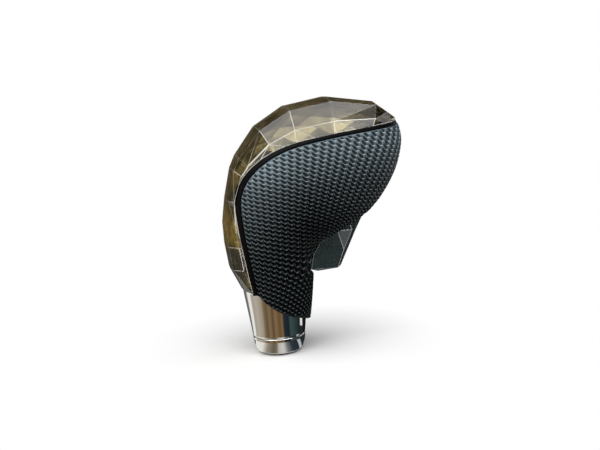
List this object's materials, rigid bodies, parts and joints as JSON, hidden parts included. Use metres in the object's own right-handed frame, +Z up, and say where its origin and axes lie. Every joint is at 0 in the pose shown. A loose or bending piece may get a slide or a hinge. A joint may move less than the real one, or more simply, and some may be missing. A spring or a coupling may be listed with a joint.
{
  "type": "gear shift knob",
  "caption": "Automatic gear shift knob with a leather grip, a cut crystal cover on its back and top, a plated foot collar and a sliding release button.",
  "frame": {"origin": "centre of the lever's hole in the plane of the collar's lower end", "axes": "+Z up along the gear lever, +X forward to the head's overhang and the release button, +Y to the left"},
  "size_m": [0.0789, 0.045, 0.107],
  "materials": {
    "grip_leather": "embossed with small staggered scales, semi-matte",
    "crystal": "cut and polished, smoky amber",
    "tray_plating": "vacuum plated, smoky",
    "trim_black": "black, satin gloss",
    "collar_chrome": "polished plating",
    "button_crystal": "dark smoked, cut and polished",
    "core_plastic": "moulded, glass filled",
    "shell_plastic": "moulded",
    "slide_plastic": "moulded, low friction",
    "insert_brass": "turned and knurled",
    "screw_steel": "zinc plated",
    "spring_steel": "drawn wire",
    "pusher_steel": "turned",
    "bumper_rubber": "matte"
  },
  "bodies": {
    "knob": {"core_frame": "core_plastic", "slide_cover": "core_plastic", "cover_screws": "screw_steel", "threaded_insert": "insert_brass", "left_grip_shell": "shell_plastic", "right_grip_shell": "shell_plastic", "leather_wrap": "grip_leather", "trim_strip": "trim_black", "crystal_cover": "crystal", "crystal_tray": "tray_plating", "collar_sleeve": "collar_chrome", "collar_end_ring": "collar_chrome", "collar_liner": "core_plastic", "collar_clip": "spring_steel", "button_spring": "spring_steel", "stop_pin": "spring_steel", "stop_bumper": "bumper_rubber", "pusher_spring": "spring_steel"},
    "button": {"button_cap": "button_crystal", "button_slide": "slide_plastic"},
    "pusher": {"detent_pusher": "pusher_steel"}
  },
  "joints": [
    {"name": "button_press", "type": "slide", "parent": "knob", "child": "button", "axis": [-1, 0, 0], "range_m": [0, 0.0045], "stiffness_N_per_m": 900, "springref_m": -0.003, "deforming": ["button_spring"]},
    {"name": "pusher_stroke", "type": "slide", "parent": "knob", "child": "pusher", "axis": [0, 0, -1], "range_m": [0, 0.0027], "stiffness_N_per_m": 600, "springref_m": -0.002, "deforming": ["pusher_spring"]}
  ],
  "couplings": [
    {"joint": "pusher_stroke", "follows": "button_press", "ratio": 0.6}
  ]
}
